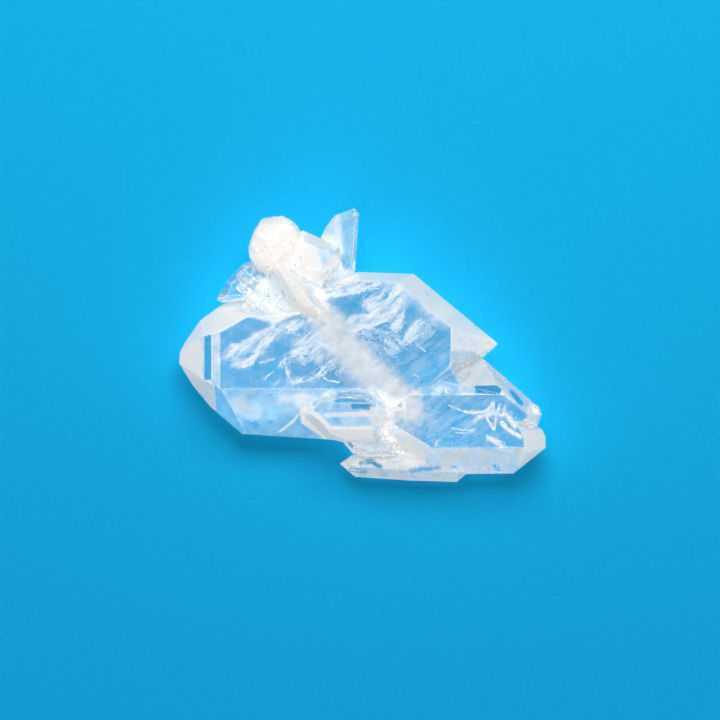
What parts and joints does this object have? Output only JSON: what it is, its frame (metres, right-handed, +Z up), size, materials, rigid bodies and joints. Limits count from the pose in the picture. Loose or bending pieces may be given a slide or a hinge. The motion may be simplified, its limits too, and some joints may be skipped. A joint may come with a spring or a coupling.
{
  "type": "faden quartz crystal cluster",
  "caption": "Cluster of flat, clear quartz crystals grown together along a milky thread, with a pointed end and a rough white knob.",
  "frame": {"origin": "under the middle of the specimen's bounding box, on the surface that it lies on", "axes": "+X along the crystals' c axis, towards the pointed end and the two-crystal arm; +Y towards the rough white knob and the thin blade; +Z up from the surface"},
  "size_m": [0.05, 0.0372, 0.0122],
  "materials": {
    "clear_quartz": "clear with glassy faces, a milky thread and veils inside, and a sugary white knob"
  },
  "bodies": {
    "root": {"quartz_cluster": "clear_quartz"}
  },
  "joints": []
}
